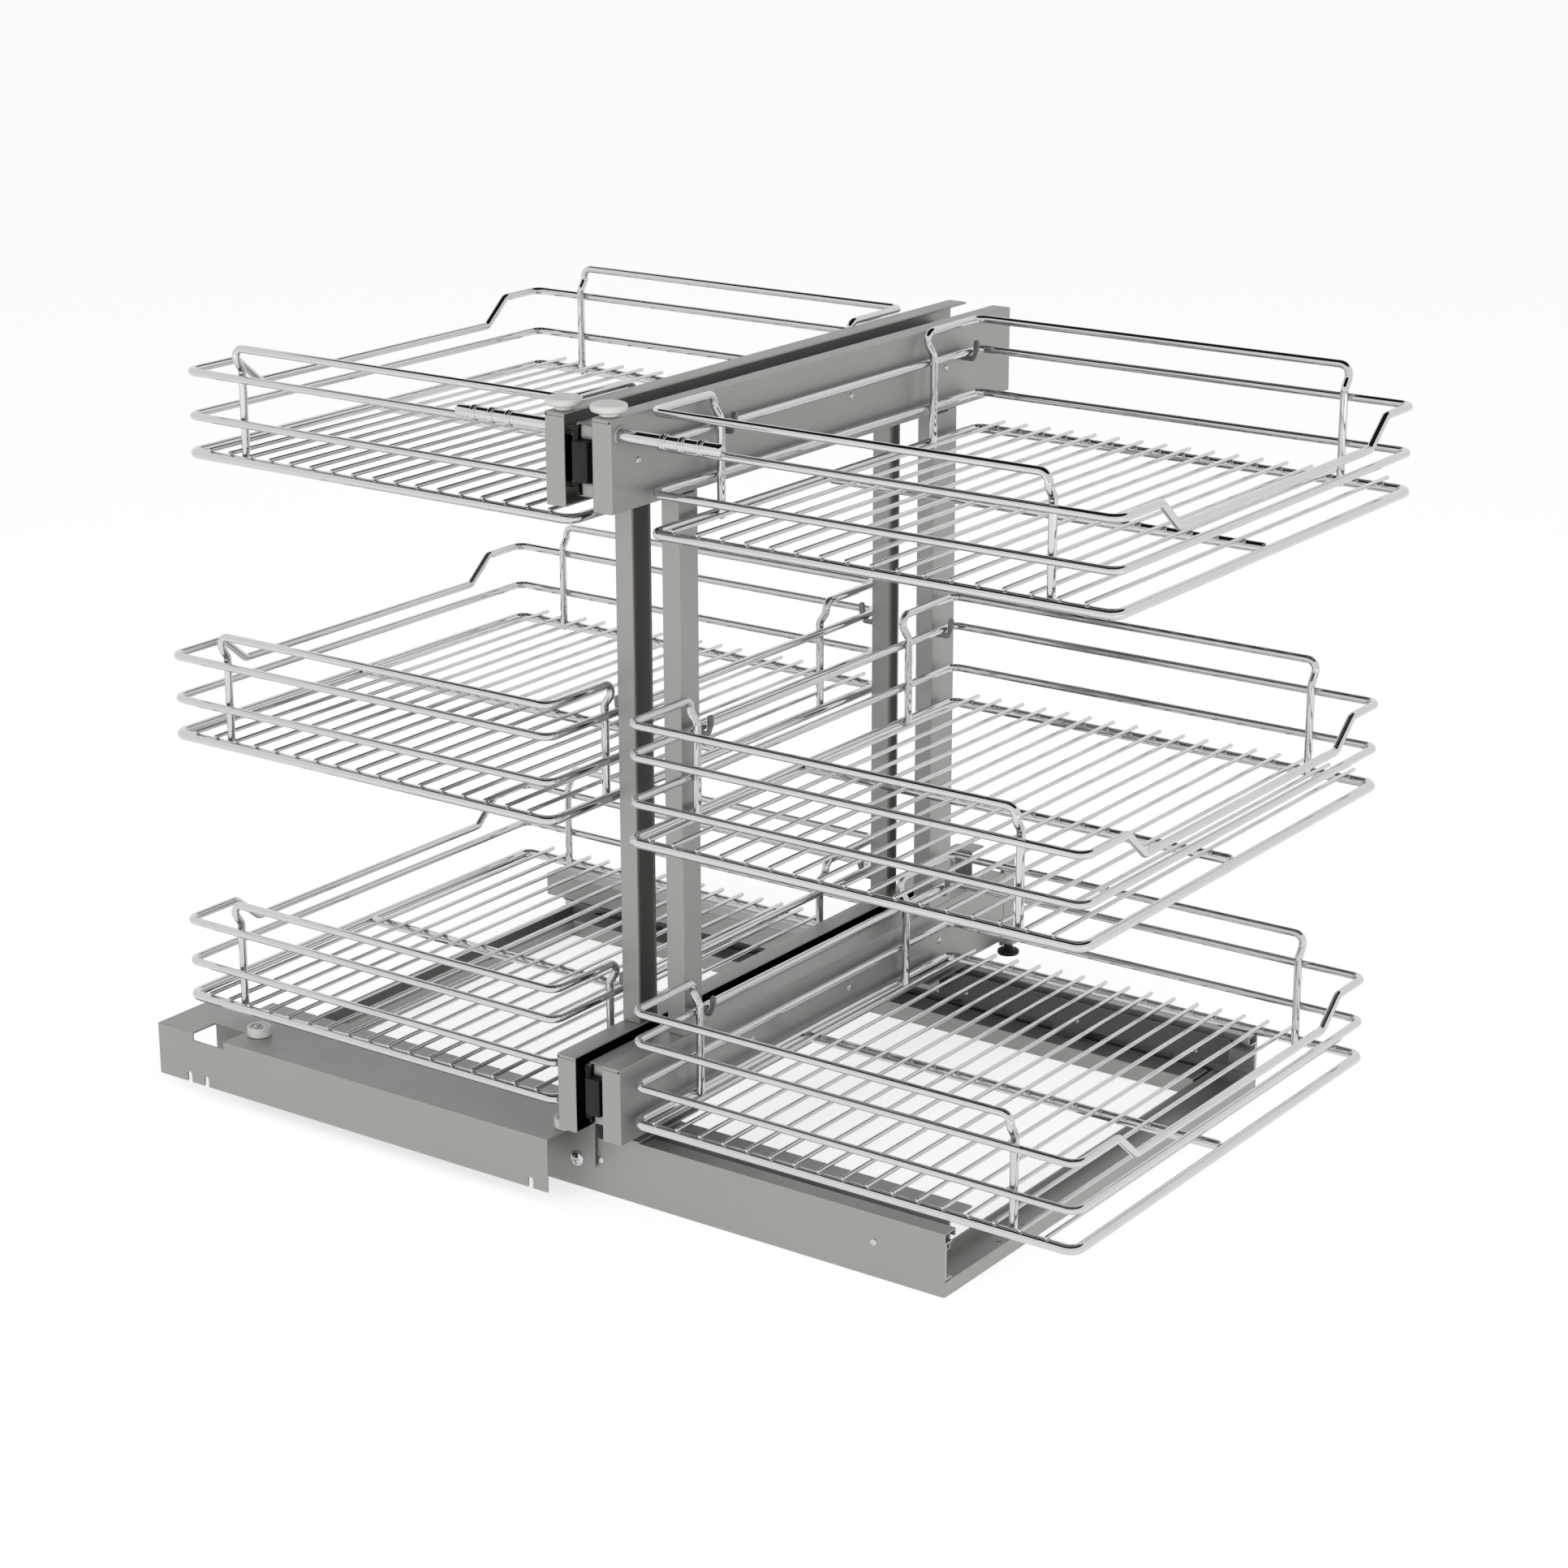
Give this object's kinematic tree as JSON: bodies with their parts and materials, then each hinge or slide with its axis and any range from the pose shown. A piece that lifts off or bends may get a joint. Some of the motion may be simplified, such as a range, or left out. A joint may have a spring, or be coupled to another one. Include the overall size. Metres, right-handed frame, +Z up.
{
  "type": "blind corner pull-out organizer",
  "caption": "Corner cabinet pull-out: a floor frame with a sideways carriage and two sliding frames, each with wire baskets on three levels.",
  "frame": {"origin": "centre of the four floor screws, on the cabinet floor", "axes": "+X to the right along the floor rails, +Y to the back of the cabinet, +Z up"},
  "size_m": [0.8789, 0.5626, 0.6302],
  "materials": {
    "grey_sheet": "satin",
    "zinc": "satin",
    "chrome": "polished",
    "white_plastic": "satin",
    "black_plastic": "matte"
  },
  "bodies": {
    "base": {"front_rail": "grey_sheet", "back_rail": "grey_sheet", "side_member_left": "grey_sheet", "side_member_right": "grey_sheet", "front_track": "zinc", "back_track": "zinc", "front_guide": "grey_sheet", "back_guide": "grey_sheet", "rail_pins": "zinc"},
    "carriage": {"front_cover": "grey_sheet", "front_runner": "zinc", "back_runner": "zinc", "back_apron": "grey_sheet", "front_saddle": "grey_sheet", "back_saddle": "grey_sheet", "bottom_beam": "grey_sheet", "top_beam": "grey_sheet", "masts": "grey_sheet", "end_caps": "black_plastic", "saddle_screw": "chrome", "roller_screws": "zinc", "outer_slides": "zinc"},
    "middle_slides_right": {"middle_slides_right": "zinc"},
    "frame_right": {"top_channel_right": "grey_sheet", "bottom_channel_right": "grey_sheet", "back_plate_right": "grey_sheet", "front_post_right": "grey_sheet", "back_post_right": "grey_sheet", "handle_right": "chrome", "hooks_right": "grey_sheet", "rivets_right": "grey_sheet", "foot_right": "black_plastic", "inner_slides_right": "zinc", "rim_top_right": "chrome", "rim_middle_right": "chrome", "rim_bottom_right": "chrome", "floor_top_right": "chrome", "floor_middle_right": "chrome", "floor_bottom_right": "chrome"},
    "top_roller_right": {"top_roller_right": "white_plastic"},
    "cover_roller_right": {"cover_roller_right": "white_plastic"},
    "middle_slides_left": {"middle_slides_left": "zinc"},
    "frame_left": {"top_channel_left": "grey_sheet", "bottom_channel_left": "grey_sheet", "back_plate_left": "grey_sheet", "front_post_left": "grey_sheet", "back_post_left": "grey_sheet", "handle_left": "chrome", "hooks_left": "grey_sheet", "rivets_left": "grey_sheet", "foot_left": "black_plastic", "inner_slides_left": "zinc", "rim_top_left": "chrome", "rim_middle_left": "chrome", "rim_bottom_left": "chrome", "floor_top_left": "chrome", "floor_middle_left": "chrome", "floor_bottom_left": "chrome"},
    "top_roller_left": {"top_roller_left": "white_plastic"},
    "cover_roller_left": {"cover_roller_left": "white_plastic"}
  },
  "joints": [
    {"name": "carriage_slide", "type": "slide", "parent": "base", "child": "carriage", "axis": [1, 0, 0], "range_m": [0, 0.425]},
    {"name": "frame_slide_right", "type": "slide", "parent": "carriage", "child": "frame_right", "axis": [0, -1, 0], "range_m": [0, 0.44]},
    {"name": "middle_slide_right", "type": "slide", "parent": "carriage", "child": "middle_slides_right", "axis": [0, -1, 0], "range_m": [0, 0.22]},
    {"name": "top_roller_spin_right", "type": "hinge", "parent": "frame_right", "child": "top_roller_right", "pos_m": [0.08435, -0.2586, 0.624], "axis": [0, 0, 1], "continuous": true},
    {"name": "cover_roller_spin_right", "type": "hinge", "parent": "carriage", "child": "cover_roller_right", "pos_m": [0.0225, -0.24775, 0.058], "axis": [0, 0, 1], "continuous": true},
    {"name": "frame_slide_left", "type": "slide", "parent": "carriage", "child": "frame_left", "axis": [0, -1, 0], "range_m": [0, 0.44]},
    {"name": "middle_slide_left", "type": "slide", "parent": "carriage", "child": "middle_slides_left", "axis": [0, -1, 0], "range_m": [0, 0.22]},
    {"name": "top_roller_spin_left", "type": "hinge", "parent": "frame_left", "child": "top_roller_left", "pos_m": [0.04365, -0.2586, 0.624], "axis": [0, 0, 1], "continuous": true},
    {"name": "cover_roller_spin_left", "type": "hinge", "parent": "carriage", "child": "cover_roller_left", "pos_m": [-0.3005, -0.24775, 0.058], "axis": [0, 0, 1], "continuous": true}
  ],
  "couplings": [
    {"joint": "middle_slide_right", "follows": "frame_slide_right", "ratio": 0.5},
    {"joint": "middle_slide_left", "follows": "frame_slide_left", "ratio": 0.5}
  ]
}
